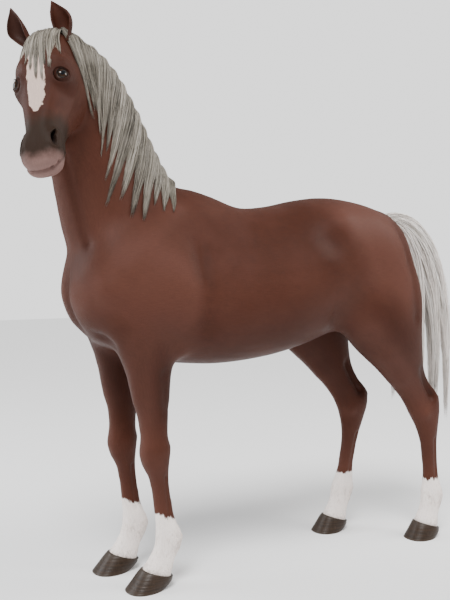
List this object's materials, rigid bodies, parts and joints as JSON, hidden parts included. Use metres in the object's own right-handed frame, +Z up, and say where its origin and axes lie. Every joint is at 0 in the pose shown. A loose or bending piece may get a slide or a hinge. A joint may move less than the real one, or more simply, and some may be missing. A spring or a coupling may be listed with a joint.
{
  "type": "standing horse, life-size still model",
  "caption": "Life-size standing horse, flaxen chestnut with a blaze and white socks, head raised and turned to its left, long mane and tail.",
  "frame": {"origin": "on the floor, under the middle of the model's box", "axes": "the horse faces -Y, its left side is +X, +Z is up"},
  "size_m": [0.7146, 2.1884, 2.2657],
  "materials": {
    "coat": "short smooth coat, silky sheen",
    "hair": "long hair, silky",
    "hoof": "horn, satin",
    "eye": "wet gloss"
  },
  "bodies": {
    "root": {"trunk": "coat", "neck": "coat", "head": "coat", "ear_left": "coat", "ear_right": "coat", "foreleg_left": "coat", "foreleg_right": "coat", "hindleg_left": "coat", "hindleg_right": "coat", "eye_left": "eye", "eye_right": "eye", "hoof_fore_left": "hoof", "hoof_fore_right": "hoof", "hoof_hind_left": "hoof", "hoof_hind_right": "hoof", "mane": "hair", "forelock": "hair", "tail": "hair"}
  },
  "joints": []
}
